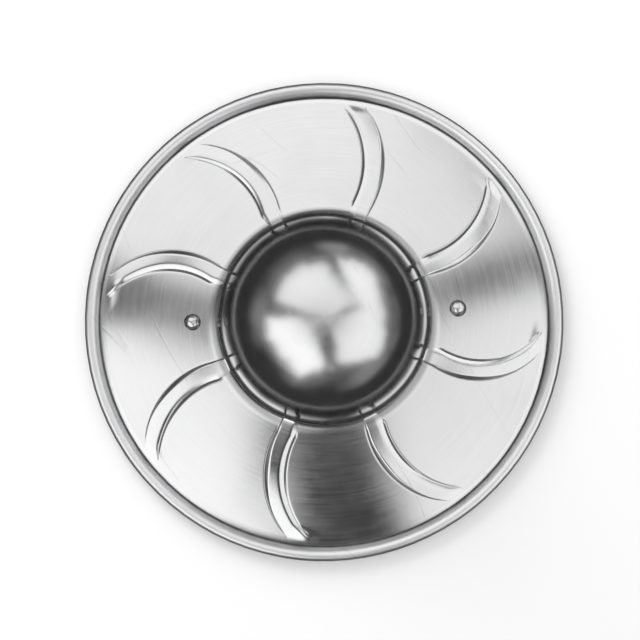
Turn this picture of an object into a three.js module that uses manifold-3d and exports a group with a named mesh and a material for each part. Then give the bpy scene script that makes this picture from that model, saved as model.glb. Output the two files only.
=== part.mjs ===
// Buckler shield: one sheet of steel raised into a round boss, eight curved rays and a rolled rim,
// with a strap handle across the mouth of the boss, held by two dome-headed rivets.
//
// Millimetres, +Z up. The shield lies on its rim with its face up: the rim's underside is on z = 0,
// and the origin is in the middle of it. +Y is the top of the shield as it is worn.

import * as THREE from 'three';
import { mergeVertices } from 'three/addons/utils/BufferGeometryUtils.js';
import Module from 'manifold-3d';

const wasm = await Module();
wasm.setup();

// Driving dimensions: the sheet
const DIAMETER = 300;
const SHEET = 1.2;
const PLATE_CURVE = 1150; // radius of the plate's section, on its face
const PLATE_PEAK = 145; // the section's centre lies this far past the axis, so the plate is a cone
const BOSS_RADIUS = 64.5; // outer radius of the boss
const BOSS_LIFT = 1; // the centre of the boss's sphere above the plate beside it
const BOSS_FILLET = 5.5; // radius of the hollow where the boss meets the plate
const BOSS_OFFSET_Y = 1.5; // the boss and the rays were struck a little above the rim's centre
const OFFSET_FADES = [70, 138]; // radii between which that offset dies out

// Driving dimensions: the rim, the sheet's edge rolled forward into an open tube
const ROLL_RADIUS = 4.45;
const ROLL_FLAT_HALF_ANGLE = 13; // the tube is flat underneath, over this angle each way
const ROLL_END_ANGLE = 208; // where the raw edge stops, just above the plate's face

// Driving dimensions: the rays. Each lies between two circles, both a template turned about the
// centre. The angles are where a ray's first edge meets the foot of the boss, and how far it
// sweeps round on its way out, compared with the template.
const RAY_HEIGHT = 1.8;
const RAY_FOOT_RADIUS = 75;
const RAY_TIP_RADIUS = 136.7;
const RAY_WIDTH_DEGREES = 9.4;
const OUTER_EDGE = { radius: 55, distance: 98.5 };
const INNER_EDGE = { radius: 53, distance: 102.3 };
const RAYS = [
  { angle: 22.5, sweep: 0.93 },
  { angle: 66.8, sweep: 0.86 },
  { angle: 111.7, sweep: 0.97 },
  { angle: 152.7, sweep: 1.07 },
  { angle: 200.7, sweep: 1.01 },
  { angle: 246.8, sweep: 0.97 },
  { angle: 290.6, sweep: 1.01 },
  { angle: 336.4, sweep: 1.1 },
];
const OUTER_SLOPE = 2.4; // width of the ray's wide, soft side
const INNER_SLOPE = 1.2; // width of its crisp side
const RAY_RISES = [66, 72]; // radii where a ray comes out of the boss's wall
const RAY_FADES = [131.5, 137.5]; // radii where it dies away into the plate
const PLAIN_COLUMNS = 4; // columns of facets on the plain plate between two rays

// Driving dimensions: the handle, a steel strap curled to a half round between its flat ends
const HANDLE_LENGTH = 188;
const HANDLE_WIDTH = 28;
const HANDLE_THICKNESS = 2;
const GRIP_CURL_DEGREES = 160; // how far round the strap's section is curled
const GRIP_CURLS = [36, 66]; // distances from the middle where the curl is full, and begins
const HANDLE_ROOT = 69; // the ends lie on the plate from here out
const ROOT_BEND = 5; // softness of the bend there

// Driving dimensions: the rivets
const RIVETS = [
  { name: 'rivet_left', x: -81.9, y: -0.9 },
  { name: 'rivet_right', x: 83.3, y: 7.7 },
];
const RIVET_SHANK = 2.5;
const RIVET_HOLE = 2.8;
const RIVET_HEAD_RADIUS = 5.25;
const RIVET_HEAD_HEIGHT = 4.1;
const RIVET_TAIL_RADIUS = 4.4;
const RIVET_TAIL_HEIGHT = 2.2;

const GAP = 0.3; // left between pieces that lie on each other

const steel = { color: 0xb4b5b6, roughness: 0.32, metalness: 1 };

const radians = THREE.MathUtils.degToRad;
const smooth = (value, from, to) => THREE.MathUtils.smoothstep(value, from, to);

// Closes a geometry's seams and poles, and turns it into a solid.
function solidOf(geometry) {
  geometry.deleteAttribute('normal');
  geometry.deleteAttribute('uv');
  const welded = mergeVertices(geometry, 1e-3);
  const corners = [];
  for (let i = 0; i < welded.index.count; i += 3) {
    const [a, b, c] = [0, 1, 2].map((k) => welded.index.getX(i + k));
    if (a !== b && b !== c && c !== a) corners.push(a, b, c);
  }
  return new wasm.Manifold(new wasm.Mesh({
    numProp: 3,
    vertProperties: Float32Array.from(welded.attributes.position.array),
    triVerts: Uint32Array.from(corners),
  }));
}

function geometryOf(solid) {
  const mesh = solid.getMesh();
  const geometry = new THREE.BufferGeometry();
  geometry.setAttribute('position', new THREE.BufferAttribute(mesh.vertProperties, 3));
  geometry.setIndex(new THREE.BufferAttribute(mesh.triVerts, 1));
  return geometry;
}

function namedMesh(name, geometry) {
  const mesh = new THREE.Mesh(geometry, new THREE.MeshStandardMaterial(steel));
  mesh.name = name;
  return mesh;
}

// The plate is a cone with rounded flanks. Its section is two arcs with one centre, one for the face
// and one for the back, and the centre lies past the axis, on the far side.
const rollCentre = {
  r: DIAMETER / 2 - ROLL_RADIUS,
  z: ROLL_RADIUS * Math.cos(radians(ROLL_FLAT_HALF_ANGLE)),
};
const backCurve = PLATE_CURVE - SHEET;
const rollStartR = rollCentre.r - ROLL_RADIUS * Math.sin(radians(ROLL_FLAT_HALF_ANGLE));
const plateCentreZ = -Math.sqrt(backCurve ** 2 - (rollStartR + PLATE_PEAK) ** 2);

function plateZ(r, curve) {
  return plateCentreZ + Math.sqrt(curve ** 2 - (r + PLATE_PEAK) ** 2);
}

// The boss is part of two spheres. A fillet of radius BOSS_FILLET joins its face to the plate's.
const bossCentreZ = plateZ(BOSS_RADIUS + BOSS_FILLET, PLATE_CURVE) + BOSS_LIFT;

function filletCentre() {
  // The centre is a fillet radius away from both faces: where two offset circles cross.
  const fromBoss = BOSS_RADIUS + BOSS_FILLET;
  const fromPlate = PLATE_CURVE + BOSS_FILLET;
  const apart = new THREE.Vector2(PLATE_PEAK, bossCentreZ - plateCentreZ);
  const along = (fromPlate ** 2 - fromBoss ** 2 + apart.lengthSq()) / (2 * apart.length());
  const aside = Math.sqrt(fromPlate ** 2 - along ** 2);
  const towards = apart.normalize();
  return {
    r: towards.x * along + towards.y * aside - PLATE_PEAK,
    z: towards.y * along - towards.x * aside + plateCentreZ,
  };
}
const fillet = filletCentre();
const wallAngle = Math.atan2(fillet.z - bossCentreZ, fillet.r);
const plateTilt = Math.asin((fillet.r + PLATE_PEAK) / (PLATE_CURVE + BOSS_FILLET));

function pointOn(centre, radius, angle) {
  return new THREE.Vector2(centre.r + radius * Math.cos(angle), centre.z + radius * Math.sin(angle));
}

function arc(centre, radius, from, to, steps) {
  return Array.from({ length: steps + 1 }, (_, i) => {
    return pointOn(centre, radius, THREE.MathUtils.lerp(from, to, i / steps));
  });
}

// The radii of the plate's rings of facets: close together where the rays rise and die away.
const RINGS = [72, 79, 88, 98, 108, 118, 126, 132, 137.5];

// The sheet's section from the axis outwards: along its face, round the roll and home by the back.
// A lathe's profile runs the other way round, so it is reversed at the end.
function shieldProfile() {
  const quarter = Math.PI / 2;
  const boss = { r: 0, z: bossCentreZ };
  const filletEnd = 3 * quarter - plateTilt;
  const rollStart = radians(-90 - ROLL_FLAT_HALF_ANGLE);
  const rollEnd = radians(ROLL_END_ANGLE);
  const flatEnd = radians(-90 + ROLL_FLAT_HALF_ANGLE);
  const face = [
    ...arc(boss, BOSS_RADIUS, quarter, wallAngle, 9),
    ...arc(fillet, BOSS_FILLET, Math.PI + wallAngle, filletEnd, 3).slice(1),
    ...RINGS.map((r) => new THREE.Vector2(r, plateZ(r, PLATE_CURVE))),
    ...arc(rollCentre, ROLL_RADIUS - SHEET, rollStart, rollEnd, 7),
  ];
  const back = [
    ...arc(rollCentre, ROLL_RADIUS, rollEnd, flatEnd, 11),
    pointOn(rollCentre, ROLL_RADIUS, rollStart),
    ...RINGS.toReversed().map((r) => new THREE.Vector2(r, plateZ(r, backCurve))),
    ...arc(fillet, BOSS_FILLET + SHEET, filletEnd, Math.PI + wallAngle, 2),
    ...arc(boss, BOSS_RADIUS - SHEET, wallAngle, quarter, 7).slice(1),
  ];
  return [...face, ...back].toReversed();
}

// The angle, seen from the shield's centre, of the template circle's edge at radius r.
function edgeAngle(edge, r) {
  const cosine = (r ** 2 + edge.distance ** 2 - edge.radius ** 2) / (2 * r * edge.distance);
  return -Math.acos(cosine);
}

// A ray's four lines at radius r: the foot and top of its outer side, then of its inner side.
function rayLines(ray, r) {
  const reach = THREE.MathUtils.clamp(r, RAY_FOOT_RADIUS, RAY_TIP_RADIUS);
  const swept = (edge) => ray.sweep * (edgeAngle(edge, reach) - edgeAngle(edge, RAY_FOOT_RADIUS));
  const outer = radians(ray.angle) + swept(OUTER_EDGE);
  const inner = radians(ray.angle + RAY_WIDTH_DEGREES) + swept(INNER_EDGE);
  return [
    outer - OUTER_SLOPE / 2 / reach,
    outer + OUTER_SLOPE / 2 / reach,
    inner - INNER_SLOPE / 2 / reach,
    inner + INNER_SLOPE / 2 / reach,
  ];
}

// Every column of facets at radius r: its angle, and whether it runs along the top of a ray.
function columnsAt(r) {
  const columns = [];
  RAYS.forEach((ray, k) => {
    const turn = k === RAYS.length - 1 ? 2 * Math.PI : 0;
    const lines = rayLines(ray, r);
    const next = rayLines(RAYS[(k + 1) % RAYS.length], r)[0] + turn;
    lines.forEach((angle, i) => columns.push({ angle, raised: i === 1 || i === 2 }));
    for (let i = 1; i <= PLAIN_COLUMNS; i += 1) {
      const angle = THREE.MathUtils.lerp(lines[3], next, i / (PLAIN_COLUMNS + 1));
      columns.push({ angle, raised: false });
    }
  });
  return columns;
}

function shieldBody() {
  const profile = shieldProfile();
  const columnCount = RAYS.length * (4 + PLAIN_COLUMNS);
  const geometry = new THREE.LatheGeometry(profile, columnCount);
  const position = geometry.attributes.position;
  profile.forEach((point, row) => {
    const columns = columnsAt(point.x);
    const relief = smooth(point.x, ...RAY_RISES) - smooth(point.x, ...RAY_FADES);
    const offset = BOSS_OFFSET_Y * (1 - smooth(point.x, ...OFFSET_FADES));
    for (let i = 0; i <= columnCount; i += 1) {
      const { angle, raised } = columns[i % columnCount];
      position.setXYZ(
        i * profile.length + row,
        point.x * Math.cos(angle),
        point.x * Math.sin(angle) + offset,
        point.y + (raised ? RAY_HEIGHT * relief : 0),
      );
    }
  });
  // The rim's corners are let out until the facets measure the full diameter.
  geometry.computeBoundingBox();
  const { min, max } = geometry.boundingBox;
  geometry.translate(-(min.x + max.x) / 2, -(min.y + max.y) / 2, 0);
  geometry.scale(DIAMETER / (max.x - min.x), DIAMETER / (max.y - min.y), 1);
  return solidOf(geometry);
}

// The handle is bent from a flat strip. Its ends follow the back of the plate, and its middle
// curls up into the mouth of the boss, with the round side towards the palm.
function handleStrip() {
  const [left, right] = RIVETS;
  const slope = Math.atan2(right.y - left.y, right.x - left.x);
  const middle = new THREE.Vector2((left.x + right.x) / 2, (left.y + right.y) / 2);
  const geometry = new THREE.BoxGeometry(HANDLE_LENGTH, HANDLE_WIDTH, HANDLE_THICKNESS, 28, 6, 1);
  const position = geometry.attributes.position;
  const fullCurl = radians(GRIP_CURL_DEGREES) / HANDLE_WIDTH;
  for (let i = 0; i < position.count; i += 1) {
    const along = position.getX(i);
    const across = position.getY(i);
    const up = position.getZ(i);
    const curl = Math.max(fullCurl * (1 - smooth(Math.abs(along), ...GRIP_CURLS)), 1e-6);
    const side = (1 / curl - up) * Math.sin(across * curl);
    const rise = 1 / curl - (1 / curl - up) * Math.cos(across * curl);
    const plan = new THREE.Vector2(along, side).rotateAround(new THREE.Vector2(), slope).add(middle);
    const past = plan.length() - HANDLE_ROOT;
    const reach = HANDLE_ROOT + (past + Math.hypot(past, ROOT_BEND)) / 2;
    const base = plateZ(reach, backCurve) - GAP - HANDLE_THICKNESS / 2;
    position.setXYZ(i, plan.x, plan.y, base + rise);
  }
  return { strip: solidOf(geometry), slope, middle };
}

// The strip's ends are cut round: everything outside a long round-ended outline goes.
function handle() {
  const { strip, slope, middle } = handleStrip();
  const end = HANDLE_WIDTH / 2;
  const straight = HANDLE_LENGTH / 2 - end;
  const outline = new THREE.Shape();
  outline.absarc(straight, 0, end, -Math.PI / 2, Math.PI / 2);
  outline.absarc(-straight, 0, end, Math.PI / 2, (3 * Math.PI) / 2);
  const depth = 3 * HANDLE_WIDTH;
  const cutter = new THREE.ExtrudeGeometry(outline, { depth, bevelEnabled: false, curveSegments: 8 });
  cutter.rotateZ(slope);
  cutter.translate(middle.x, middle.y, -depth / 2);
  return strip.intersect(solidOf(cutter));
}

// Where a rivet stands on the face of the plate, with the plate's own lean there.
function rivetPlace({ x, y }) {
  const place = new THREE.Object3D();
  const r = Math.hypot(x, y);
  const z = plateZ(r, PLATE_CURVE);
  const lean = (r + PLATE_PEAK) / r;
  const normal = new THREE.Vector3(x * lean, y * lean, z - plateCentreZ).normalize();
  place.position.set(x, y, z);
  place.quaternion.setFromUnitVectors(new THREE.Vector3(0, 0, 1), normal);
  place.updateMatrix();
  return place;
}

function rivetHole(rivet) {
  const hole = new THREE.CylinderGeometry(RIVET_HOLE, RIVET_HOLE, 12 * SHEET, 16);
  hole.rotateX(Math.PI / 2);
  hole.applyMatrix4(rivetPlace(rivet).matrix);
  return solidOf(hole);
}

// A domed end of the rivet: points from its rim to the axis, curving to the given height.
function domed(radius, height, seat, steps) {
  return Array.from({ length: steps + 1 }, (_, i) => {
    const angle = (Math.PI / 2) * (i / steps);
    return new THREE.Vector2(radius * Math.cos(angle), seat + height * Math.sin(angle));
  });
}

function rivetMesh(rivet) {
  const headSeat = GAP;
  const tailSeat = -(SHEET + GAP + HANDLE_THICKNESS + GAP);
  const profile = [
    ...domed(RIVET_TAIL_RADIUS, -RIVET_TAIL_HEIGHT, tailSeat, 3).toReversed(),
    new THREE.Vector2(RIVET_SHANK, tailSeat),
    new THREE.Vector2(RIVET_SHANK, headSeat),
    ...domed(RIVET_HEAD_RADIUS, RIVET_HEAD_HEIGHT, headSeat, 4),
  ];
  const turned = new THREE.LatheGeometry(profile, 16).rotateX(Math.PI / 2);
  const mesh = namedMesh(rivet.name, geometryOf(solidOf(turned)));
  const place = rivetPlace(rivet);
  mesh.position.copy(place.position);
  mesh.quaternion.copy(place.quaternion);
  return mesh;
}

const buckler = new THREE.Group();
const holes = RIVETS.map(rivetHole);
const drilled = (solid) => holes.reduce((left, hole) => left.subtract(hole), solid);
buckler.add(namedMesh('shield_body', geometryOf(drilled(shieldBody()))));
buckler.add(namedMesh('handle', geometryOf(drilled(handle()))));
RIVETS.forEach((rivet) => buckler.add(rivetMesh(rivet)));

export default buckler;
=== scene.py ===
# %% [markdown]
# # A steel buckler, built and finished in Blender
# A buckler is a small round shield for the hand. This one is a single sheet of steel: a smith raises
# a round boss in the middle for the fist, strikes eight curved rays round it, and rolls the edge
# forward so that it neither cuts nor bends. A strap handle crosses the mouth of the boss behind.
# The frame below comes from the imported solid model, so every piece here is made to its sizes.

# %% Load the frame
import math

import bmesh
import bpy
import numpy as np
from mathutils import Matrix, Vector


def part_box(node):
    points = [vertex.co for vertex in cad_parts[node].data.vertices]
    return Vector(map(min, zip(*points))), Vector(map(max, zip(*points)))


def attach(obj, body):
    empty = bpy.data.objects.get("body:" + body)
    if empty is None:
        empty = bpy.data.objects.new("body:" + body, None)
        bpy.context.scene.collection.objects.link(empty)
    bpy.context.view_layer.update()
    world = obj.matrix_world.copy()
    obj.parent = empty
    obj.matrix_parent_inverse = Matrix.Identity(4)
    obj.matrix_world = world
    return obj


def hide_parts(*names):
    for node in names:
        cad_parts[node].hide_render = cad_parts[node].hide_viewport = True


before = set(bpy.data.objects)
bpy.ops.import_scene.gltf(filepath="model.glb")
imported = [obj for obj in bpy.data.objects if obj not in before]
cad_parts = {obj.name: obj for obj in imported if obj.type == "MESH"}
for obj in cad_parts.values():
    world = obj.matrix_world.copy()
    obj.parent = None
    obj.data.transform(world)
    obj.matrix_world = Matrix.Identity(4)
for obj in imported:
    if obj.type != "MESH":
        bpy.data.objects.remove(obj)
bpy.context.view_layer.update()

BODY_LOW, BODY_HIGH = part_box("shield_body")
print("shield measures", [round(high - low, 4) for low, high in zip(BODY_LOW, BODY_HIGH)])

# %% [markdown]
# ## Node trees written as sums
# Materials and Geometry Nodes are both trees of small nodes. Written by hand, a formula such as
# 1 - mask becomes a dozen lines. A small class that wraps a socket lets Python's own signs add the
# Math nodes, and one method adds every other kind of node: its type, its settings, its inputs.
# Three soft steps are used again and again: a smooth step, a band between two of them, and a climb
# that starts above nothing.

# %% Helpers for node trees
class Value:
    """A node's output. Arithmetic on it adds Math nodes to its tree."""

    def __init__(self, tree, socket):
        self.tree = tree
        self.socket = socket

    def __add__(self, other):
        return self.tree.math("ADD", self, other)

    def __sub__(self, other):
        return self.tree.math("SUBTRACT", self, other)

    def __rsub__(self, other):
        return self.tree.math("SUBTRACT", other, self)

    def __mul__(self, other):
        return self.tree.math("MULTIPLY", self, other)

    def __truediv__(self, other):
        return self.tree.math("DIVIDE", self, other)

    __radd__ = __add__
    __rmul__ = __mul__

    def output(self, name):
        return Value(self.tree, self.socket.node.outputs[name])


class Tree:
    """A node tree in which one call adds one node."""

    def __init__(self, node_tree):
        self.node_tree = node_tree

    def node(self, kind, settings=None, inputs=None, output=0):
        node = self.node_tree.nodes.new(kind)
        for name, setting in (settings or {}).items():
            setattr(node, name, setting)
        for name, value in (inputs or {}).items():
            if isinstance(value, Value):
                self.node_tree.links.new(value.socket, node.inputs[name])
            else:
                node.inputs[name].default_value = value
        return Value(self, node.outputs[output]) if node.outputs else node

    def math(self, operation, *values):
        return self.node("ShaderNodeMath", {"operation": operation}, dict(enumerate(values)))

    def smooth(self, value, low, high):
        settings = {"interpolation_type": "SMOOTHSTEP"}
        return self.node("ShaderNodeMapRange", settings, {"Value": value, "From Min": low, "From Max": high})

    def band(self, value, span):
        """One between the middle two of four values, nothing past the outer two."""
        return self.smooth(value, span[0], span[1]) * self.smooth(value, span[3], span[2])

    def climb(self, value, low, high, least):
        """From least up to one."""
        return self.smooth(value, low, high) * (1 - least) + least

    def soft_least(self, first, second, width):
        return self.math("SMOOTH_MIN", first, second, width)


print("helpers ready")

# %% [markdown]
# ## Camera
# The camera looks almost straight down on the lying shield, tipped a little towards its lower edge,
# so that the boss stands slightly high in the rim's circle. A long lens keeps the circle round.
# The camera comes first because everything else is judged through it.

# %% Camera
MM = 0.001
FRAME_PIXELS = 640
RIM_PIXELS = 478.6
RIM_CENTRE_PIXELS = (324.1, 321.3)
SENSOR = 36.0
CAMERA_DISTANCE = 1.4
CAMERA_ELEVATION = math.radians(88)
RIM_MIDDLE_Z = 4.4 * MM

diameter = BODY_HIGH[0] - BODY_LOW[0]
metres_per_pixel = diameter / RIM_PIXELS
view_width = FRAME_PIXELS * metres_per_pixel
aim = Vector((
    (FRAME_PIXELS / 2 - RIM_CENTRE_PIXELS[0]) * metres_per_pixel,
    (RIM_CENTRE_PIXELS[1] - FRAME_PIXELS / 2) * metres_per_pixel,
    RIM_MIDDLE_Z,
))
towards_camera = Vector((0, -math.cos(CAMERA_ELEVATION), math.sin(CAMERA_ELEVATION)))
camera_data = bpy.data.cameras.new("camera")
camera_data.sensor_width = SENSOR
camera_data.lens = SENSOR * CAMERA_DISTANCE / view_width
camera = bpy.data.objects.new("camera", camera_data)
camera.location = aim + towards_camera * CAMERA_DISTANCE
camera.rotation_euler = towards_camera.to_track_quat("Z", "Y").to_euler()
bpy.context.scene.collection.objects.link(camera)
bpy.context.scene.camera = camera
print("lens", round(camera_data.lens, 1), "mm, view", round(view_width, 3), "m wide")

# %% [markdown]
# ## The sheet's section
# Cut the shield through its middle and the steel draws one line: over the boss, down into the fillet,
# out along the plate and round the rolled rim, then home again along the back. The plate is close to
# a cone: its arc is large and its centre lies past the axis. Every stretch is an arc, so the section
# is worked out from a few radii and not from a list. First come the sizes.

# %% Sizes of the sheet
SHEET = 1.2 * MM
RIM_MARGIN = 0.05 * MM
RADIUS = diameter / 2 - RIM_MARGIN
ROLL_RADIUS = 4.45 * MM
ROLL_FLAT = math.radians(13)
ROLL_END = math.radians(208)
ROLL_SQUARE = 2.3
ROLL_LEAN = 0.2
PLATE_CURVE = 1150 * MM
PLATE_PEAK = 145 * MM
BOSS_RADIUS = 64.5 * MM
BOSS_LIFT = 1.0 * MM
FILLET = 6.0 * MM
FLARE = 0.4 * MM
FLARE_SPAN = (67 * MM, 72.6 * MM)
RISE = 0.3 * MM
RISE_SPAN = (136.2 * MM, 141.4 * MM, 142.9 * MM)
print("sheet", round(SHEET / MM, 2), "mm thick, boss", round(2 * BOSS_RADIUS / MM, 1), "mm across")

# %% [markdown]
# ## Where the arcs meet
# A hammered fillet has no corner: the boss's wall, the hollow at its foot and the plate touch each
# other smoothly. Two circles that touch have their centres one radius sum apart, so the fillet's
# centre is where a circle round the boss and a circle round the plate's centre cross.

# %% Centres of the arcs
roll_centre = (RADIUS - ROLL_RADIUS, ROLL_RADIUS * math.cos(ROLL_FLAT))
back_curve = PLATE_CURVE - SHEET
roll_start = roll_centre[0] - ROLL_RADIUS * math.sin(ROLL_FLAT)
plate_centre = -math.sqrt(back_curve**2 - (roll_start + PLATE_PEAK) ** 2)


def plate_height(radius, curve=PLATE_CURVE):
    return plate_centre + np.sqrt(curve**2 - np.square(radius + PLATE_PEAK))


boss_centre = float(plate_height(BOSS_RADIUS + FILLET)) + BOSS_LIFT - FLARE
apart = math.hypot(PLATE_PEAK, boss_centre - plate_centre)
across, upwards = PLATE_PEAK / apart, (boss_centre - plate_centre) / apart
along = ((PLATE_CURVE + FILLET) ** 2 - (BOSS_RADIUS + FILLET) ** 2 + apart**2) / (2 * apart)
aside = math.sqrt((PLATE_CURVE + FILLET) ** 2 - along**2)
fillet_centre = (
    across * along + upwards * aside - PLATE_PEAK,
    upwards * along - across * aside + plate_centre,
)
wall_angle = math.atan2(fillet_centre[1] - boss_centre, fillet_centre[0])
fillet_end = 1.5 * math.pi - math.asin((fillet_centre[0] + PLATE_PEAK) / (PLATE_CURVE + FILLET))
print("fillet reaches the plate", round(fillet_centre[0] / MM, 1), "mm out")

# %% [markdown]
# ## Drawing the section
# The rim is the sheet's own edge, rolled forward. Its upper half is pressed a little square and
# leans outward, as a roll closed with a mallet does. The plate turns up slightly where it meets the
# roll and flares up slightly at the foot of the boss. Rings lie closest where the sheet bends most.

# %% Section of the sheet
FACE_STRETCHES = (
    # first radius, last radius and number of rings, in millimetres
    (70.4, 80, 13), (81.4, 127, 32), (128, 135.5, 8), (136.2, 141.4, 12), (141.9, 143, 3),
)
BACK_STRETCH = (143, 71, 40)
BOSS_STEPS = (44, 32)
FILLET_STEPS = (10, 8)
ROLL_STEPS = (22, 58)


def arc(centre, radius, start, end, steps):
    angles = np.linspace(start, end, steps + 1)
    return np.stack([centre[0] + radius * np.cos(angles), centre[1] + radius * np.sin(angles)], 1)


def roll(radius, start, end, steps):
    """The rolled tube, its upper half pressed a little square and leaning outward."""
    points = arc((0, 0), 1, start, end, steps)
    upper = points[:, 1] > 0
    power = 2 / ROLL_SQUARE
    squared = np.sign(points) * np.abs(points) ** power
    points[upper] = squared[upper]
    points[upper, 0] += ROLL_LEAN * points[upper, 1] * (1 - points[upper, 0])
    return points * radius + roll_centre


def plate_rings(curve, radii):
    """The plate, turned up a little where it meets the roll."""
    start, high, end = RISE_SPAN
    rise = np.clip((radii - start) / (high - start), 0, 1) ** 2
    rise = rise * np.clip((end - radii) / (end - high), 0, 1)
    return np.stack([radii, plate_height(radii, curve) + RISE * rise], 1)


face_radii = np.concatenate([np.linspace(*stretch) for stretch in FACE_STRETCHES]) * MM
back_radii = np.linspace(*BACK_STRETCH) * MM
down = -math.pi / 2
edge_middle = ROLL_END + 0.05
section = np.concatenate([
    arc((0, boss_centre), BOSS_RADIUS, math.pi / 2, wall_angle, BOSS_STEPS[0]),
    arc(fillet_centre, FILLET, math.pi + wall_angle, fillet_end, FILLET_STEPS[0])[1:],
    plate_rings(PLATE_CURVE, face_radii),
    roll(ROLL_RADIUS - SHEET, down - ROLL_FLAT, ROLL_END, ROLL_STEPS[0]),
    roll(ROLL_RADIUS - SHEET / 2, edge_middle, edge_middle, 0),
    roll(ROLL_RADIUS, ROLL_END, down + ROLL_FLAT, ROLL_STEPS[1]),
    roll(ROLL_RADIUS, down - ROLL_FLAT, down - ROLL_FLAT, 0),
    plate_rings(back_curve, back_radii),
    arc(fillet_centre, FILLET + SHEET, fillet_end, math.pi + wall_angle, FILLET_STEPS[1]),
    arc((0, boss_centre), BOSS_RADIUS - SHEET, wall_angle, math.pi / 2, BOSS_STEPS[1])[1:],
])
inward = np.clip((FLARE_SPAN[1] - section[:, 0]) / (FLARE_SPAN[1] - FLARE_SPAN[0]), 0, 1)
section[:, 1] += FLARE * inward**2
print("section has", len(section), "points, boss top at", round(section[0, 1], 4))

# %% [markdown]
# ## Turning the section, with columns that follow the rays
# A lathe turns the section round the axis. Plain straight columns would cross the curved rays at a
# slant and leave their edges ragged, so each column is swung round as it goes out: the rays lie
# between arcs of two circles, and the columns near a ray run along those arcs.
# The smith laid the rays out by eye, so each has its own bearing and sweep.

# %% Columns of the turned sheet
RAYS = (
    # bearing of the foot in degrees, and how far the ray sweeps round compared with the pattern
    (22.5, 0.93), (66.8, 0.86), (111.7, 0.97), (152.7, 1.07),
    (200.7, 1.01), (246.8, 0.97), (290.6, 1.01), (336.4, 1.10),
)
RAY_FOOT = 75 * MM
RAY_TIP = 136.7 * MM
RAY_ANGLE = math.radians(9.4)
RAY_WIDTH = 12.6 * MM
OUTER_EDGE = (55 * MM, 98.5 * MM)
INNER_EDGE = (53 * MM, 102.3 * MM)
# places of the columns across a ray, in millimetres from its outer edge
ACROSS = np.array([
    -2.0, -1.2, -0.7, -0.4, -0.2, 0, 0.2, 0.5, 0.9, 1.3, 1.7, 2.1, 2.5, 2.9, 3.6, 4.8, 6.4, 7.8,
    8.9, 9.7, 10.3, 10.8, 11.3, 11.7, 12.0, 12.25, 12.45, 12.65, 12.85, 13.05, 13.3, 13.6,
    14.0, 14.6, 15.6,
]) * MM
PLAIN_COLUMNS = 8


def edge_angle(edge, radius):
    """The angle at which a ray's edge, an arc of a circle beside the axis, crosses a radius."""
    circle, distance = edge
    return -np.arccos((radius**2 + distance**2 - circle**2) / (2 * radius * distance))


def ray_edges(ray, radius):
    """The angles of a ray's outer and inner edge at each radius."""
    reach = np.clip(radius, RAY_FOOT, RAY_TIP)
    foot, sweep = math.radians(ray[0]), ray[1]
    outer = foot + sweep * (edge_angle(OUTER_EDGE, reach) - edge_angle(OUTER_EDGE, RAY_FOOT))
    inner = foot + RAY_ANGLE + sweep * (edge_angle(INNER_EDGE, reach) - edge_angle(INNER_EDGE, RAY_FOOT))
    return outer, inner


def columns(radius):
    """Angles, places across the nearest ray and that ray's number, one row for each ring."""
    angles, across, numbers = [], [], []
    for number, ray in enumerate(RAYS):
        outer, inner = ray_edges(ray, radius)
        following = ray_edges(RAYS[(number + 1) % len(RAYS)], radius)
        next_outer = following[0] + (2 * math.pi if number == len(RAYS) - 1 else 0)
        per_metre = (inner - outer) / RAY_WIDTH
        start = outer + ACROSS[-1] * per_metre
        end = next_outer + ACROSS[0] * (following[1] - following[0]) / RAY_WIDTH
        angles += [outer + place * per_metre for place in ACROSS]
        across += [place + 0 * radius for place in ACROSS]
        numbers += [number] * len(ACROSS)
        for step in range(1, PLAIN_COLUMNS + 1):
            share = step / (PLAIN_COLUMNS + 1)
            near = share < 0.5
            angles.append(start + (end - start) * share)
            gap = (end - start) * np.maximum(radius, RAY_FOOT)
            across.append(ACROSS[-1] + gap * share if near else ACROSS[0] - gap * (1 - share))
            numbers.append(number if near else (number + 1) % len(RAYS))
    return np.stack(angles, 1), np.stack(across, 1), np.tile(numbers, (len(radius), 1))


rings = section[1:-1]
angles, across, numbers = columns(rings[:, 0])
print("columns", angles.shape[1], "rings", angles.shape[0])

# %% [markdown]
# ## The turned mesh
# The boss was struck a little above the middle of the rim, so the rings are moved up near the axis
# and not at the edge. Each point keeps named values for the next step: its place across its ray, its
# distance from the axis, how deep its ray's fold and how high its end bump are, and whether it lies
# on the raw edge of the roll.

# %% Turn the sheet
OFFSET_Y = 0.8 * MM
OFFSET_FADES = (70 * MM, 138 * MM)
BEADS = (0.4, 0.4, 0.7, 1.4, 0.6, 1.1, 0.4, 1.1)
FOLDS = (1.0, 0.9, 0.45, 0.35, 0.9, 0.4, 0.35, 0.4)
LIP_WIDTH = 0.9 * MM
NOWHERE = -1.0


def smoothstep(value, low, high):
    t = np.clip((value - low) / (high - low), 0, 1)
    return t * t * (3 - 2 * t)


def turned_mesh(name, section, angles, offset):
    """Rings of points joined by quads, closed by fans on the axis. Faces point outwards."""
    rows, count = angles.shape
    radius, height = section[1:-1, :1], section[1:-1, 1:]
    points = np.stack([
        radius * np.cos(angles),
        radius * np.sin(angles) + offset(radius),
        height + 0 * angles,
    ], 2).reshape(-1, 3)
    poles = [(0, offset(0.0), section[0, 1]), (0, offset(0.0), section[-1, 1])]
    here = np.arange(rows * count).reshape(rows, count)
    beside = np.roll(here, -1, 1)
    quads = np.stack([here[:-1], here[1:], beside[1:], beside[:-1]], 2).reshape(-1, 4)
    top, bottom = rows * count, rows * count + 1
    fans = [(top, a, b) for a, b in zip(here[0], beside[0])]
    fans += [(bottom, b, a) for a, b in zip(here[-1], beside[-1])]
    mesh = bpy.data.meshes.new(name)
    mesh.from_pydata(np.vstack([points, poles]).tolist(), [], quads.tolist() + fans)
    return mesh


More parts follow.
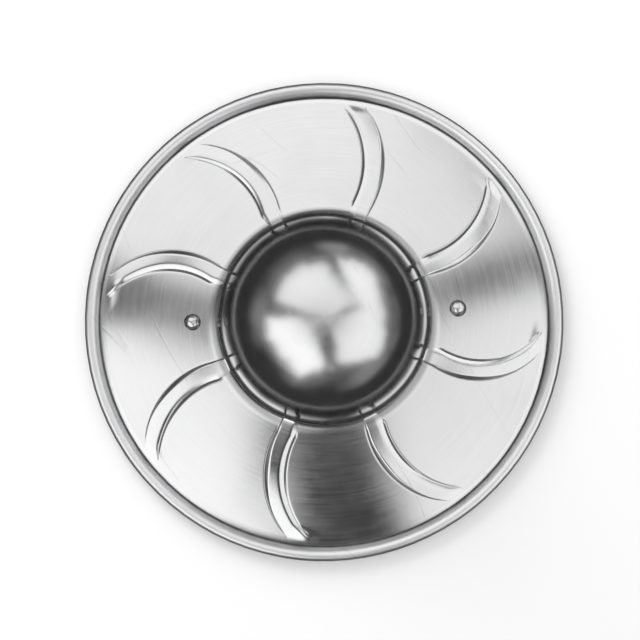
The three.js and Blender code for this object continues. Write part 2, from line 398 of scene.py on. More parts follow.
def add_attribute(mesh, name, values):
    """Stores a value for each point of the rings, and a dummy for the two poles."""
    attribute = mesh.attributes.new(name, "FLOAT", "POINT")
    attribute.data.foreach_set("value", np.append(values.ravel(), [NOWHERE, NOWHERE]).astype(np.float32))


body_mesh = turned_mesh(
    "shield", section, angles, lambda r: OFFSET_Y * (1 - smoothstep(r, *OFFSET_FADES))
)
raw_edge = roll(ROLL_RADIUS, ROLL_END, ROLL_END, 0)[0]
from_edge = np.hypot(*(rings - raw_edge).T)[:, None] + 0 * angles
add_attribute(body_mesh, "across", across)
add_attribute(body_mesh, "distance", rings[:, :1] + 0 * angles)
add_attribute(body_mesh, "bead", np.array(BEADS)[numbers])
add_attribute(body_mesh, "fold", np.array(FOLDS)[numbers])
add_attribute(body_mesh, "lip", np.exp(-((from_edge / LIP_WIDTH) ** 2)))
body = bpy.data.objects.new("buckler_sheet", body_mesh)
bpy.context.scene.collection.objects.link(body)
print("sheet has", len(body_mesh.polygons), "faces")

# %% [markdown]
# ## Steel
# Bright steel is a mirror with a grain. The grain here runs in rings, left by the wheel as the shield
# turned, so a lamp's reflection is drawn out across the rings, towards and away from the boss. The
# Anisotropic value does that. Three helpers come first: one starts a material, one ends it with a
# metal shader, and one makes noise, the raw material of every mark on the steel.

# %% Helpers for materials
def new_material(name):
    material = bpy.data.materials.new(name)
    material.use_nodes = True
    material.node_tree.nodes.clear()
    return material, Tree(material.node_tree)


def finish_material(tree, colour, roughness, normal, **constants):
    inputs = {"Base Color": colour, "Roughness": roughness, "Metallic": 1.0, "Normal": normal}
    shader = tree.node("ShaderNodeBsdfPrincipled", None, inputs)
    for name, value in constants.items():
        shader.socket.node.inputs[name.replace("_", " ")].default_value = value
    tree.node("ShaderNodeOutputMaterial", None, {"Surface": shader})


def noise(tree, place, scale, detail, roughness=0.5):
    inputs = {"Vector": place, "Scale": scale, "Detail": detail, "Roughness": roughness}
    return tree.node("ShaderNodeTexNoise", None, inputs)


print("material helpers ready")

# %% [markdown]
# ## Marks on the steel
# Streaks and hairs follow the grain: their noise is fine across the rings and long along them. Painted
# shade darkens the rays' creases, the line where the plate dives under the roll and the foot of the boss.
# Painted light makes the plate lighter in a band beside the roll. A few faint scratches cross the grain,
# because the shield has been used.

# %% Marks on the sheet
STREAK_GRAIN = (900.0, 2.2)
HAIR_GRAIN = (3400.0, 5.0)
SCRATCH_SLANT = (0.8, 0.6)
SCRATCH_GRAIN = (34.0, 5.0)
SCRATCH_WIDTH = (0.0075, 0.0020)
SCRATCHED_PARTS = (0.50, 0.60)
EDGE_LINE = (140.6 * MM, 141.2 * MM, 141.6 * MM, 142.5 * MM)
EDGE_LINE_TOP = (6 * MM, 4 * MM)
FOOT_SHADE = (65.8 * MM, 67.2 * MM, 68.2 * MM, 71.6 * MM)
# how dark the painted shade at the foot of the boss is
FOOT_PAINTED_SHADE = 0.62
# a band beside the roll where the plate's colour is painted lighter: painted light
PAINTED_LIGHT_BAND = (136.8 * MM, 138.8 * MM, 140.8 * MM, 141.2 * MM)


def grain(t, polar, fineness, detail, roughness):
    """Noise that is fine across the rings and long along them."""
    radius, angle, z = polar
    across_rings, along_rings = fineness
    drawn = t.node("ShaderNodeCombineXYZ", None, {
        0: radius * across_rings,
        1: angle * along_rings,
        2: z * across_rings,
    })
    return noise(t, drawn, 1.0, detail, roughness)


def scratches(t, x, y, z, cloud):
    """Thin lines where slanting, drawn-out noise crosses its middle value, in patches."""
    main, side = SCRATCH_SLANT
    drawn = t.node("ShaderNodeCombineXYZ", None, {
        0: (x * main + y * side) * SCRATCH_GRAIN[0],
        1: (y * main - x * side) * SCRATCH_GRAIN[1],
        2: z * SCRATCH_GRAIN[1],
    })
    line = t.math("ABSOLUTE", noise(t, drawn, 1.0, 0.0) - 0.5)
    return t.smooth(line, *SCRATCH_WIDTH) * t.smooth(cloud, *SCRATCHED_PARTS)


def painted_crease_shade(t, radius, z):
    """Painted shade in the creases, under the roll and at the foot of the boss."""
    crease = t.node("ShaderNodeAttribute", {"attribute_name": "crease"}, None, "Fac")
    under_roll = t.band(radius, EDGE_LINE) * t.smooth(z, *EDGE_LINE_TOP)
    foot = t.band(radius, FOOT_SHADE) * FOOT_PAINTED_SHADE
    return t.math("MAXIMUM", t.math("MAXIMUM", crease, under_roll), foot)


print("marks ready")

# %% [markdown]
# ## The sheet's steel
# All the marks meet here. Each changes the steel's tone a little, or its roughness, or both: clouds
# and streaks do so everywhere, the creases, the line under the roll and the foot of the boss get painted
# shade and are duller, painted light brightens a band beside the roll and the roll of the rim, which is
# dull from handling, and the crown of the boss is duller than its side. Hairs and scratches also give
# a bump.

# %% Sheet steel
STEEL_TONE = 0.74
STEEL_BLUE = 1.008
STEEL_ROUGHNESS = 0.15
# how much each mark changes the tone, and the roughness
CLOUDS = (0.12, 0.14)
STREAKS = (0.10, 0.10)
HAIR_ROUGHNESS = 0.05
# painted shade in the creases, under the roll and at the foot: its darkening, and the roughness it adds
PAINTED_SHADE_AND_DULL = (0.78, 0.2)
SCRATCH_TONE = 0.07
PAINTED_LIGHT_TONE = 0.1
# the roll of the rim is painted lighter: painted light
RIM_PAINTED_LIGHT = 0.16
RIM_LIGHT_SPAN = (141.2 * MM, 142.4 * MM)
RIM_ROUGHNESS = 0.21
RIM_DULL = (140.5 * MM, 142 * MM)
CROWN_ROUGHNESS = 0.09
CROWN = (56 * MM, 16 * MM)
BRUSHED = {"Anisotropic": 0.5, "Anisotropic_Rotation": 0.25}


def sheet_steel():
    material, t = new_material("sheet_steel")
    place = t.node("ShaderNodeTexCoord", None, None, "Object")
    parts = t.node("ShaderNodeSeparateXYZ", None, {0: place})
    x, y, z = parts, parts.output("Y"), parts.output("Z")
    radius = t.math("SQRT", x * x + y * y)
    polar = (radius, t.math("ARCTAN2", y, x), z)
    streak = grain(t, polar, STREAK_GRAIN, 4.0, 0.65)
    hair = grain(t, polar, HAIR_GRAIN, 2.0, 0.6)
    cloud = noise(t, place, 26.0, 4.0, 0.6)
    scratch = scratches(t, x, y, z, cloud)
    painted_shade = painted_crease_shade(t, radius, z)

    tone = STEEL_TONE + (cloud - 0.5) * CLOUDS[0] + (streak - 0.5) * STREAKS[0]
    # painted light brightens a band beside the roll and the roll of the rim
    tone = tone + t.band(radius, PAINTED_LIGHT_BAND) * PAINTED_LIGHT_TONE + t.smooth(radius, *RIM_LIGHT_SPAN) * RIM_PAINTED_LIGHT
    # painted shade darkens the creases, the line under the roll and the foot of the boss
    tone = tone * (1.0 - painted_shade * PAINTED_SHADE_AND_DULL[0]) * (1.0 - scratch * SCRATCH_TONE)
    colour = t.node("ShaderNodeCombineColor", None, {0: tone, 1: tone, 2: tone * STEEL_BLUE})
    roughness = STEEL_ROUGHNESS + (cloud - 0.5) * CLOUDS[1] + (streak - 0.5) * STREAKS[1]
    roughness = roughness + (hair - 0.5) * HAIR_ROUGHNESS + painted_shade * PAINTED_SHADE_AND_DULL[1]
    roughness = roughness + t.smooth(radius, *RIM_DULL) * RIM_ROUGHNESS
    roughness = roughness + t.smooth(radius, *CROWN) * CROWN_ROUGHNESS
    relief = hair + streak - scratch
    bump = t.node("ShaderNodeBump", None, {"Strength": 0.05, "Distance": 0.2 * MM, "Height": relief})
    finish_material(t, colour, roughness, bump, **BRUSHED)
    return material


sheet_material = sheet_steel()
print("made", sheet_material.name)

# %% [markdown]
# ## Raising the rays with Geometry Nodes
# A smith drives the rays out from behind with a curved punch. Each has its crest on the outer side,
# over a steep flank that is widest half way, and its back falls to a sharp fold on the inner side. A
# small round bump ends the fold. All eight follow one rule, so Geometry Nodes lift the points by it:
# the least of three slopes (flank, top and fall) gives the roof, softened where they meet.
# The tree's named inputs hold the sizes. First come helpers that any modifier tree can use.

# %% Helpers for modifier trees
def modifier_tree(name, numbers):
    tree = bpy.data.node_groups.new(name, "GeometryNodeTree")
    tree.interface.new_socket("Geometry", in_out="INPUT", socket_type="NodeSocketGeometry")
    tree.interface.new_socket("Geometry", in_out="OUTPUT", socket_type="NodeSocketGeometry")
    for label, value in numbers.items():
        socket = tree.interface.new_socket(label, in_out="INPUT", socket_type="NodeSocketFloat")
        socket.default_value = value
    return tree


def point_value(tree, name):
    return tree.node("GeometryNodeInputNamedAttribute", {"data_type": "FLOAT"}, {"Name": name})


def pushed(tree, geometry, distance):
    """Points moved along their normals."""
    push = tree.node("ShaderNodeVectorMath", {"operation": "SCALE"}, {
        0: tree.node("GeometryNodeInputNormal"),
        "Scale": distance,
    })
    return tree.node("GeometryNodeSetPosition", None, {"Geometry": geometry, "Offset": push})


def close_tree(tree, geometry, material):
    smooth = tree.node("GeometryNodeSetShadeSmooth", None, {"Geometry": geometry})
    real = tree.node("GeometryNodeRealizeInstances", None, {"Geometry": smooth})
    coated = tree.node("GeometryNodeSetMaterial", None, {"Geometry": real, "Material": material})
    tree.node("NodeGroupOutput", None, {"Geometry": coated})


def keep_result(piece):
    """Keeps what a piece's modifiers make of it as its plain mesh."""
    depsgraph = bpy.context.evaluated_depsgraph_get()
    mesh = bpy.data.meshes.new_from_object(piece.evaluated_get(depsgraph))
    piece.modifiers.clear()
    piece.data = mesh


def run_tree(piece, tree, numbers):
    modifier = piece.modifiers.new(tree.name, "NODES")
    modifier.node_group = tree
    for socket in tree.interface.items_tree:
        if socket.name in numbers:
            modifier[socket.identifier] = numbers[socket.name]
    keep_result(piece)


print("modifier helpers ready")

# %% Sizes of the rays
RAY_INPUTS = {
    "Crest Height": 1.75 * MM,
    "Back Height": 1.5 * MM,
    "Flank Slope": 0.66,
    "Fall Slope": 0.5,
    "Softness": 0.16 * MM,
    "Foot Flare": FLARE,
    "Fold Depth": 0.55 * MM,
    "Foot Line": 0.16 * MM,
    "Bead Height": 0.45 * MM,
    "Bead Radius": 4.4 * MM,
    "Plate Wave": 0.14 * MM,
    "Boss Wave": 0.35 * MM,
    "Nicks": 0.25 * MM,
}
CREST_SPAN = (72 * MM, 98 * MM, 134 * MM)
CREST_PLACE = 3.0 * MM
BACK_PLACE = 9.4 * MM
# shares of its full height that a ray keeps at its foot, at its tip, and in its back
FOOT_SHARE = 0.6
TIP_SHARE = 0.2
BACK_SHARE = 0.35
# softness where the fall and the foot of the flank turn, compared with the crest's
FALL_SOFTNESS = 4.0
BASE_SOFTNESS = 0.4
RAISED_SPAN = (64 * MM, 68 * MM, 133 * MM, 138.5 * MM)
LINE_SPAN = (71.5 * MM, 76 * MM, 131 * MM, 135 * MM)
INNER_HALF = (116 * MM, 100 * MM)
FOLD_PLACE = RAY_WIDTH + 0.1 * MM
FOLD_WIDTH = 0.5 * MM
FOOT_LINE_WIDTH = 0.3 * MM
BEAD_DISTANCE = 132.4 * MM
BEAD_ACROSS = 11.9 * MM
BOSS_SPAN = (67 * MM, 58 * MM)
print("rays", RAY_WIDTH / MM, "mm wide,", RAY_INPUTS["Crest Height"] / MM, "mm high")

# %% [markdown]
# ## The roof of a ray
# Across a ray, the roof climbs the flank, leans back over the top and falls to the fold. Along it,
# the crest swells towards the middle and sinks again at the tip. A ray dies away into the wall of the
# boss and into the plate, so its lift fades to nothing at both ends.

# %% The roof's rule
def groove(tree, value, middle, width):
    """A bell curve: one in the middle of a groove, nothing beside it."""
    off = (value - middle) / width
    return tree.math("EXPONENT", 0.0 - off * off)


def ray_height(t, across, distance, size):
    """The lift of a ray's roof: a steep flank, a flat top that leans, and a fall."""
    foot, middle, tip = CREST_SPAN
    swell = t.climb(distance, foot, middle, FOOT_SHARE)
    fade = t.climb(distance, tip, middle, TIP_SHARE)
    crest = size["Crest Height"] * swell * fade
    body = swell * fade * (1 - BACK_SHARE) + BACK_SHARE
    share = (across - CREST_PLACE) / (BACK_PLACE - CREST_PLACE)
    top = crest + (size["Back Height"] * body - crest) * share
    flank = across * size["Flank Slope"]
    fall = (RAY_WIDTH - across) * size["Fall Slope"] * body
    outer = t.soft_least(flank, top, size["Softness"])
    roof = t.soft_least(outer, fall, size["Softness"] * FALL_SOFTNESS)
    inward = t.math("MAXIMUM", (FLARE_SPAN[1] - distance) / (FLARE_SPAN[1] - FLARE_SPAN[0]), 0.0)
    roof = roof - inward * inward * size["Foot Flare"]
    roof = t.math("SMOOTH_MAX", roof, 0.0, size["Softness"] * BASE_SOFTNESS)
    return roof * t.band(distance, RAISED_SPAN)


def ray_lines(t, across, distance, fold):
    """The fold along a ray's inner side, and the finer line along its outer foot."""
    along = t.band(distance, LINE_SPAN)
    deep = fold + (1.0 - fold) * t.smooth(distance, *INNER_HALF)
    fold_line = groove(t, across, FOLD_PLACE, FOLD_WIDTH) * deep * along
    foot_line = groove(t, across, 0.0, FOOT_LINE_WIDTH) * along
    return fold_line, foot_line


def end_bump(t, across, distance, size):
    """A round bump at the end of the fold."""
    out, over = distance - BEAD_DISTANCE, across - BEAD_ACROSS
    reach = t.math("SQRT", out * out + over * over) / size["Bead Radius"]
    return t.smooth(reach, 1.0, 0.0) * size["Bead Height"]


print("roof ready")

# %% [markdown]
# ## The tree
# The tree lifts the points by the rays' rule and stores how deep each crease is, for the steel's painted
# shade to find. Then it pushes the points along their normals: faint waves from the hammer on the plate,
# stronger ones on the boss, and small nicks in the raw edge of the roll.

# %% Tree that raises the rays
# scale, detail and roughness of each noise
PLATE_NOISE = (22.0, 1.5, 0.45)
BOSS_NOISE = (48.0, 0.5, 0.4)
NICK_NOISE = (260.0, 2.0, 0.7)


def ray_tree():
    group = modifier_tree("raise_rays", RAY_INPUTS)
    t = Tree(group)
    sheet = t.node("NodeGroupInput")
    size = {label: sheet.output(label) for label in RAY_INPUTS}
    across, distance = point_value(t, "across"), point_value(t, "distance")
    bead, fold, lip = point_value(t, "bead"), point_value(t, "fold"), point_value(t, "lip")

    fold_line, foot_line = ray_lines(t, across, distance, fold)
    lift = ray_height(t, across, distance, size) + end_bump(t, across, distance, size) * bead
    lift = lift - fold_line * size["Fold Depth"] - foot_line * size["Foot Line"]
    raised = t.node("GeometryNodeSetPosition", None, {
        "Geometry": sheet,
        "Offset": t.node("ShaderNodeCombineXYZ", None, {2: lift}),
    })
    marked = t.node("GeometryNodeStoreNamedAttribute", {"data_type": "FLOAT", "domain": "POINT"}, {
        "Geometry": raised,
        "Name": "crease",
        "Value": t.math("MAXIMUM", fold_line, foot_line * 0.6),
    })

    place = t.node("GeometryNodeInputPosition")
    wave = (noise(t, place, *PLATE_NOISE) - 0.5) * size["Plate Wave"]
    swelling = (noise(t, place, *BOSS_NOISE) - 0.5) * size["Boss Wave"] * t.smooth(distance, *BOSS_SPAN)
    nick = (noise(t, place, *NICK_NOISE) - 0.5) * lip * size["Nicks"]
    close_tree(t, pushed(t, marked, wave + swelling + nick), sheet_material)
    return group


run_tree(body, ray_tree(), RAY_INPUTS)
print("rays raised,", sum(len(face.vertices) - 2 for face in body.data.polygons), "triangles")

# %% [markdown]
# ## Back inside the box
# The waves may push a point a hair below the floor or past the rim's true size. The frame's box for
# the solid sheet is the limit, so the points are clipped to it. The sheet then takes the place of the
# solid model's body.

# %% Keep the sheet inside its box
points = np.empty(len(body.data.vertices) * 3, np.float32)
body.data.vertices.foreach_get("co", points)
points = points.reshape(-1, 3)
points[:, 2] = np.clip(points[:, 2], 0, BODY_HIGH[2])
points[:, :2] = np.clip(points[:, :2], BODY_LOW[0], BODY_HIGH[0])
body.data.vertices.foreach_set("co", points.ravel())
body.data.update()
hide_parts("shield_body")
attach(body, "root")
print("sheet box", points.min(0).round(4).tolist(), points.max(0).round(4).tolist())

# %% [markdown]
# ## Rivets with Geometry Nodes
# Two rivets pin the strap to the plate. A rivet starts as a plain peg with a round head; its other
# end is hammered over behind. Both are the same shape, so one is turned on a lathe and a tree sets
# a copy on each seat, leaning with the plate, then dents every head a little differently.

# %% Rivet pattern
RIVET_SEATS = ((-81.9 * MM, -0.9 * MM), (83.3 * MM, 7.7 * MM))
RIVET_HEAD = (5.25 * MM, 4.3 * MM)
HEAD_LIP = (0.15 * MM, 0.1 * MM)
RIVET_TAIL = (4.4 * MM, 2.2 * MM)
RIVET_SHANK = 2.5 * MM
TAIL_SEAT = -3.8 * MM
HEAD_STEPS = 18
TAIL_STEPS = 10
RIVET_COLUMNS = 48


def dome(radius, height, seat, steps):
    angles = np.linspace(0, math.pi / 2, steps + 1)[::-1]
    return np.stack([radius * np.cos(angles), seat + height * np.sin(angles)], 1)


lip_in, lip_down = HEAD_LIP
rivet_section = np.concatenate([
    dome(*RIVET_HEAD, 0.0, HEAD_STEPS),
    [(RIVET_HEAD[0] - lip_in, -lip_down), (RIVET_SHANK, -lip_down), (RIVET_SHANK, TAIL_SEAT)],
    dome(RIVET_TAIL[0], -RIVET_TAIL[1], TAIL_SEAT, TAIL_STEPS)[::-1],
])
round_the_rivet = np.linspace(0, 2 * math.pi, RIVET_COLUMNS, endpoint=False)
rivet_angles = np.tile(round_the_rivet, (len(rivet_section) - 2, 1))
rivet_mesh = turned_mesh("rivet", rivet_section, rivet_angles, lambda r: 0 * r)
rivet_pattern = bpy.data.objects.new("rivet_pattern", rivet_mesh)
bpy.context.scene.collection.objects.link(rivet_pattern)
print("one rivet has", len(rivet_pattern.data.polygons), "faces")

# %% [markdown]
# ## The rivets' steel
# A rivet's head is rounder than anything beside it, so it mirrors the whole room in a few millimetres
# and looks dark round its edge. Its colour is also painted darker round the edge, where the head's
# surface turns away from straight up: painted shade.

# %% Steel for the rivets
RIVET_TONE = 0.70
RIVET_SHADE_FACING = (0.75, 0.25)
RIVET_PAINTED_SHADE = 0.75
RIVET_ROUGHNESS = 0.17


def rivet_steel():
    material, t = new_material("rivet_steel")
    place = t.node("ShaderNodeTexCoord", None, None, "Object")
    cloud = noise(t, place, 420.0, 3.0, 0.6)
    facing = t.node("ShaderNodeSeparateXYZ", None, {0: t.node("ShaderNodeNewGeometry", None, None, "Normal")})
    # painted shade: the head's colour darkens where its surface turns away from straight up
    edge = t.smooth(facing.output("Z"), *RIVET_SHADE_FACING)
    tone = (RIVET_TONE + (cloud - 0.5) * 0.16) * (1.0 - edge * RIVET_PAINTED_SHADE)
    colour = t.node("ShaderNodeCombineColor", None, {0: tone, 1: tone, 2: tone})
    bump = t.node("ShaderNodeBump", None, {"Strength": 0.15, "Distance": 0.3 * MM, "Height": cloud})
    finish_material(t, colour, RIVET_ROUGHNESS + cloud * 0.10, bump)
    return material


rivet_material = rivet_steel()
print("made", rivet_material.name)

# %% [markdown]
# ## Setting the rivets
# The tree puts a copy of the rivet on each seat and turns it to the plate's own lean, which the seat
# carries as a named value. The copies are made real before the dents are cut, so the noise meets each
# head in a different place and no two heads match.

# %% Tree that sets the rivets
RIVET_INPUTS = {"Dents": 0.85 * MM, "Dent Scale": 330.0}


def rivet_tree():
    group = modifier_tree("set_rivets", RIVET_INPUTS)
    t = Tree(group)
    seats = t.node("NodeGroupInput")
    normal = t.node("GeometryNodeInputNamedAttribute", {"data_type": "FLOAT_VECTOR"}, {"Name": "lean"})
    turn = t.node("FunctionNodeAlignRotationToVector", {"axis": "Z"}, {"Vector": normal})
    pattern = t.node("GeometryNodeObjectInfo", None, {"Object": rivet_pattern}, "Geometry")
    copies = t.node("GeometryNodeInstanceOnPoints", None, {
        "Points": seats,
        "Instance": pattern,
        "Rotation": turn,
    })
    real = t.node("GeometryNodeRealizeInstances", None, {"Geometry": copies})
    place = t.node("GeometryNodeInputPosition")
    dent = t.math("MINIMUM", noise(t, place, seats.output("Dent Scale"), 0.5, 0.5) - 0.5, 0.0)
    close_tree(t, pushed(t, real, dent * seats.output("Dents")), rivet_material)
    return group


print("rivet tree ready")

# %% Set the rivets
seat_points = [Vector((x, y, float(plate_height(math.hypot(x, y))))) for x, y in RIVET_SEATS]
seat_mesh = bpy.data.meshes.new("rivets")
seat_mesh.from_pydata(seat_points, [], [])
lean = seat_mesh.attributes.new("lean", "FLOAT_VECTOR", "POINT")
for number, seat in enumerate(seat_points):
    stretch = 1 + PLATE_PEAK / math.hypot(seat.x, seat.y)
    from_centre = Vector((seat.x * stretch, seat.y * stretch, seat.z - plate_centre))
    lean.data[number].vector = from_centre.normalized()
rivets = bpy.data.objects.new("rivets", seat_mesh)
bpy.context.scene.collection.objects.link(rivets)
run_tree(rivets, rivet_tree(), RIVET_INPUTS)
bpy.data.objects.remove(rivet_pattern)
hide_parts("rivet_left", "rivet_right")
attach(rivets, "root")
print("rivets have", len(rivets.data.polygons), "faces")

# %% [markdown]
# ## Handle
# The handle is a steel strap across the mouth of the boss, curled in the middle into a half-round
# grip. The solid model already bends it, so its mesh is taken as it is: its doubled points are
# merged, a Bevel takes the sharpness off the cut edges, and it is shaded smooth between them.

# %% Steel for the handle
HANDLE_TONE = 0.50
HANDLE_ROUGHNESS = 0.30
HANDLE_GRAIN = (40.0, 1500.0, 1500.0)


def handle_steel():
    material, t = new_material("handle_steel")
    place = t.node("ShaderNodeTexCoord", None, None, "Object")
    stretched = t.node("ShaderNodeMapping", None, {"Vector": place, "Scale": HANDLE_GRAIN})
    streak = noise(t, stretched, 1.0, 4.0, 0.6)
    cloud = noise(t, place, 60.0, 3.0, 0.6)
    tone = HANDLE_TONE + (streak - 0.5) * 0.14 + (cloud - 0.5) * 0.10
    colour = t.node("ShaderNodeCombineColor", None, {0: tone, 1: tone, 2: tone})
    bump = t.node("ShaderNodeBump", None, {"Strength": 0.08, "Distance": 0.2 * MM, "Height": streak})
    finish_material(t, colour, HANDLE_ROUGHNESS + (streak - 0.5) * 0.16, bump)
    return material


handle_material = handle_steel()
print("made", handle_material.name)

# %% Handle
HANDLE_EDGE = 0.35 * MM
SAME_POINT = 0.01 * MM
FLAT_ANGLE = 0.002
CUT_EDGE = math.radians(50)
SHARP_EDGE = math.radians(40)


def build_handle():
    source = bpy.data.objects["handle"]
    mesh = source.data.copy()
    mesh.transform(source.matrix_world)
    merged = bmesh.new()
    merged.from_mesh(mesh)
    bmesh.ops.remove_doubles(merged, verts=merged.verts, dist=SAME_POINT)
    bmesh.ops.dissolve_limit(merged, angle_limit=FLAT_ANGLE, verts=merged.verts, edges=merged.edges)
    merged.to_mesh(mesh)
    merged.free()
    mesh.materials.clear()
    mesh.materials.append(handle_material)
    handle = bpy.data.objects.new("strap_handle", mesh)
    bpy.context.scene.collection.objects.link(handle)
    bevel = handle.modifiers.new("eased edges", "BEVEL")
    bevel.width = HANDLE_EDGE
    bevel.segments = 3
    bevel.limit_method = "ANGLE"
    bevel.angle_limit = CUT_EDGE
    keep_result(handle)
    handle.data.shade_smooth()
    handle.data.set_sharp_from_angle(angle=SHARP_EDGE)
    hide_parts("handle")
    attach(handle, "root")
    print("handle has", len(handle.data.polygons), "faces")


build_handle()

# %% [markdown]
# ## The studio in the steel
# Polished steel shows its surroundings more than itself. A real studio hangs white panels round the
# camera, and their reflections are the bright patches on the boss; the gaps between them are the
# dark wedges on the plate. The boss is a ball, so each place on it mirrors one direction. That makes
# it a chart: a panel is drawn where its reflection lies on the boss, by the edges that bound it.
# Dimmer spills of light lie round the panels, and one patch is darker than the rest.

# %% Panels of the studio
BOSS_PIXELS = BOSS_RADIUS / metres_per_pixel
PANELS = (
    # brightness, then each edge: the bearing it faces, and its distance from the middle of the boss
    (1.10, (
        (166, 48.5), (148, 54.5), (124, 57.5), (90, 53.5), (38, 33.2), (-61, 0.3), (-105, -3.5), (211, 28.3),
    )),
    (1.14, ((80, 62), (50, 66.5), (12, 57.5), (206.6, -36.7), (-90, -8))),
    (1.10, ((0, 58.5), (-45, 59.5), (-82, 45.5), (187, -7.2), (136, -14.6), (90, 13))),
    (1.32, ((90, 2.5), (49, -15.5), (22, -15.3), (-41, 31.5), (-77, 47.5), (217, 53.2), (180, 55.5))),
)
PANEL_ROUNDING = 6.0
PANEL_SOFTNESS = 3.2
PANEL_FALL = (12.0, 46.0, 0.88)
PANEL_CLOUD = 0.2
GLOW = 0.14
GLOW_REACH = 20.0
GLOW_SPAN = (26.0, 44.0)
SPILLS = (
    # bearing, distance, half turn, half width and brightness
    (81, 72, 17, 12, 0.26),
    (173, 63, 22, 9, 0.20),
    (-50, 67, 28, 12, 0.22),
    (-18, 75, 12, 9, 0.16),
    (44, 78, 20, 10, 0.09),
    (-142, 80, 28, 9, 0.11),
    (8, 76, 14, 9, 0.09),
    (-83, 48.5, 3, 2, 1.2),
)
DARK_PATCH = (-140, 66, 24, 9, 0.8)
print(len(PANELS), "panels on a boss", round(BOSS_PIXELS), "pixels in radius")

# %% [markdown]
# ## Drawing on the sky
# A mirror sends the camera's ray to the sky as far beyond its own lean as the camera is before it.
# So the lean that shows a piece of sky is half way between that piece's direction and the camera's.
# The first helper turns a direction into that half-way lean, and so into a place on the boss. The
# others draw there. A place is inside a panel while it is beyond none of the panel's edges, and a
# soft greatest of those distances rounds the corners.

# %% Helpers for the sky
def reflected_place(t, x, y, z):
    """Where on the boss, in pixels from its middle, the camera sees each direction reflected."""
    vx, vy, vz = towards_camera
    hx, hy, hz = x + vx, y + vy, z + vz
    length = t.math("SQRT", hx * hx + hy * hy + hz * hz)
    up = (hy * vz - hz * vy) / length
    return hx / length * BOSS_PIXELS, up * BOSS_PIXELS


def towards(right, up, bearing):
    """How far a place lies towards a bearing."""
    turn = math.radians(bearing)
    return right * math.cos(turn) + up * math.sin(turn)


def dim_patch(t, right, up, out, patch):
    """A soft patch that follows the ring round the boss's middle."""
    bearing, distance, half_turn, half_width, level = patch
    facing = towards(right, up, bearing) / out
    round_ring = t.math("ARCCOSINE", facing) / math.radians(half_turn)
    across_ring = (out - distance) / half_width
    away = t.math("SQRT", round_ring * round_ring + across_ring * across_ring)
    return t.smooth(away, 1.3, 0.2) * level


def panel_light(t, right, up, out, panel):
    level, edges = panel
    reach = -1000.0
    for bearing, distance in edges:
        beyond = towards(right, up, bearing) - distance
        reach = t.math("SMOOTH_MAX", reach, beyond, PANEL_ROUNDING)
    core = t.smooth(reach, PANEL_SOFTNESS, -PANEL_SOFTNESS)
    spread = t.smooth(out, *GLOW_SPAN) * GLOW
    glow = t.smooth(reach, GLOW_REACH, -PANEL_SOFTNESS)
    return (core * (1.0 - spread) + glow * spread) * level


print("sky helpers ready")

# %% [markdown]
# ## The world
# The light is the brightest of the panels, their spills and a fill in the middle, warped a little so
# that no edge is quite straight, over a faint background. Light that the steel reflects a second
# time, as round the foot of the boss, has lost strength and comes from narrower parts of the room,
# so it is dimmed apart. The lower half of the sky repeats the upper one, for the shield's back. The
# camera and the paper see a plain white dome instead.

# %% Light of the room
FILL = 0.42
LOW_FILL = 0.02
FILL_SPAN = (38.0, 12.0)
FILL_RISE = (-22.0, 0.0)
HAZE = (14.0, 40.0, 0.4)
BACKGROUND = 0.05
BACKGROUND_RISE = (-85.0, -45.0, 0.3)
SECOND_RING = (25.0, 38.0, 0.05)
SECOND_END = (54.0, 46.0)
SECOND_BEARING = 135
SECOND_TURN = (0.3, 0.9)
SECOND_SHADE = (1.15, 0.55)
SECOND_LOW = (-0.87, -0.99)
SECOND_LOW_SHADE = 0.7


def room_light(t, right, up, out, cloud):
    """The light of panels, fill, spills and background."""
    panels = 0.0
    for panel in PANELS:
        panels = t.math("MAXIMUM", panels, panel_light(t, right, up, out, panel))
    panels = panels * (t.climb(out, *PANEL_FALL) + (cloud - 0.5) * PANEL_CLOUD)
    fill = t.smooth(out, *FILL_SPAN) * (LOW_FILL + t.smooth(up, *FILL_RISE) * FILL)
    light = t.math("MAXIMUM", panels, fill)
    for patch in SPILLS:
        light = t.math("MAXIMUM", light, dim_patch(t, right, up, out, patch))
    light = light + t.climb(up, *BACKGROUND_RISE) * t.climb(out, *HAZE) * BACKGROUND
    return light * (1.0 - dim_patch(t, right, up, out, DARK_PATCH))


def second_reflection(t, right, up, out):
    """The share of the light that is left after a second reflection."""
    ring = t.climb(out, *SECOND_RING) * t.smooth(out, *SECOND_END)
    facing = towards(right, up, SECOND_BEARING) / out
    shade = SECOND_SHADE[0] - t.smooth(facing, *SECOND_TURN) * SECOND_SHADE[1]
    low = 1.0 - t.smooth(up / out, *SECOND_LOW) * SECOND_LOW_SHADE
    return ring * shade * low


print("room light ready")

# %% World
WARP = 12.0
WARP_SIZE = 15.0
SECOND_LOSS = 0.95
DOME = 0.94


def grey(level):
    return (level, level, level, 1.0)


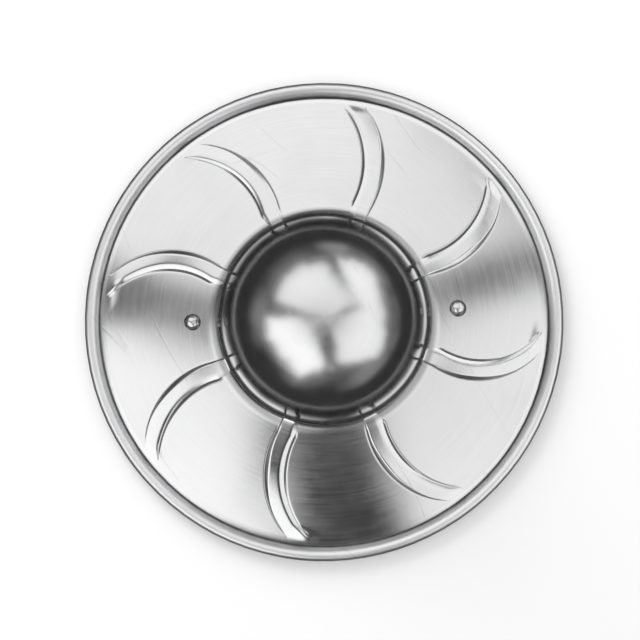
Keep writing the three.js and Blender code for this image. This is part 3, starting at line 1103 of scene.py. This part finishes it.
def build_world():
    world = bpy.data.worlds.new("studio")
    world.use_nodes = True
    world.node_tree.nodes.clear()
    t = Tree(world.node_tree)
    parts = t.node("ShaderNodeSeparateXYZ", None, {0: t.node("ShaderNodeTexCoord", None, None, "Generated")})
    x, y, z = parts, parts.output("Y"), t.math("ABSOLUTE", parts.output("Z"))
    right, up = reflected_place(t, x, y, z)
    chart = t.node("ShaderNodeCombineXYZ", None, {0: right / WARP_SIZE, 1: up / WARP_SIZE})
    wobble = t.node("ShaderNodeSeparateXYZ", None, {0: noise(t, chart, 1.0, 2.0).output("Color")})
    right = right + (wobble - 0.5) * WARP
    up = up + (wobble.output("Y") - 0.5) * WARP
    out = t.math("SQRT", right * right + up * up)
    light = room_light(t, right, up, out, wobble.output("Z"))
    again = t.math("GREATER_THAN", t.node("ShaderNodeLightPath", None, None, "Glossy Depth"), 1.5)
    kept = second_reflection(t, right, up, out)
    light = light * (1.0 - again * (1.0 - kept) * SECOND_LOSS)
    sky = t.node("ShaderNodeBackground", None, {"Color": grey(1.0), "Strength": light})
    dome = t.node("ShaderNodeBackground", None, {"Color": grey(DOME), "Strength": 1.0})
    rays = t.node("ShaderNodeLightPath", None, None, "Is Glossy Ray")
    shown = t.node("ShaderNodeMixShader", None, {0: rays, 1: dome, 2: sky})
    t.node("ShaderNodeOutputWorld", None, {"Surface": shown})
    bpy.context.scene.world = world


build_world()
bpy.context.scene.view_settings.view_transform = "Standard"
print("world ready")

# %% [markdown]
# ## Floor
# The shield lies on plain white paper. Seen in the steel, paper all round would fill the rim and the
# wall of the boss with white, so reflections see it dark beyond the rim, as a studio's floor is past
# its small lit patch. Right under the shield, reflections pass through it, so that the hollow back
# mirrors the room in a view from beneath.

# %% Floor
FLOOR_HALF = 3.0
PAPER = 0.86
DARK_FLOOR = 0.03
DARK_BEYOND = (150 * MM, 151.5 * MM)
CLEAR_WITHIN = (149.5 * MM, 149 * MM)


def build_floor():
    mesh = bpy.data.meshes.new("floor")
    corners = [(sx * FLOOR_HALF, sy * FLOOR_HALF, 0) for sx, sy in ((-1, -1), (1, -1), (1, 1), (-1, 1))]
    mesh.from_pydata(corners, [], [(0, 1, 2, 3)])
    material, t = new_material("floor_paper")
    paper = t.node("ShaderNodeBsdfDiffuse", None, {"Color": grey(PAPER)})
    dim = t.node("ShaderNodeEmission", None, {"Color": grey(DARK_FLOOR)})
    clear = t.node("ShaderNodeBsdfTransparent")
    reflected = t.node("ShaderNodeLightPath", None, None, "Is Glossy Ray")
    place = t.node("ShaderNodeTexCoord", None, None, "Object")
    away = t.node("ShaderNodeVectorMath", {"operation": "LENGTH"}, {0: place}, "Value")
    far = t.smooth(away, *DARK_BEYOND)
    top = t.node("ShaderNodeMixShader", None, {0: reflected * far, 1: paper, 2: dim})
    below = t.node("ShaderNodeNewGeometry", None, None, "Backfacing")
    under = reflected * t.smooth(away, *CLEAR_WITHIN)
    both = t.node("ShaderNodeMixShader", None, {0: t.math("MAXIMUM", below, under), 1: top, 2: clear})
    t.node("ShaderNodeOutputMaterial", None, {"Surface": both})
    mesh.materials.append(material)
    floor = bpy.data.objects.new("floor", mesh)
    bpy.context.scene.collection.objects.link(floor)


build_floor()
print("floor ready")

# %% [markdown]
# ## Key lamp
# One wide, soft lamp at the upper left gives the paper its faint shadow. The steel doesn't mirror it,
# because the world's panels already stand for the lamps that the steel shows.

# %% Key lamp
KEY_PLACE = Vector((-1.1, 1.6, 1.0))
KEY_SIZE = 1.3
KEY_POWER = 30.0


def build_key():
    data = bpy.data.lights.new("key", "AREA")
    data.size = KEY_SIZE
    data.energy = KEY_POWER
    key = bpy.data.objects.new("key", data)
    key.location = KEY_PLACE
    key.rotation_euler = KEY_PLACE.to_track_quat("Z", "Y").to_euler()
    key.visible_glossy = False
    bpy.context.scene.collection.objects.link(key)


build_key()
print("key lamp ready")
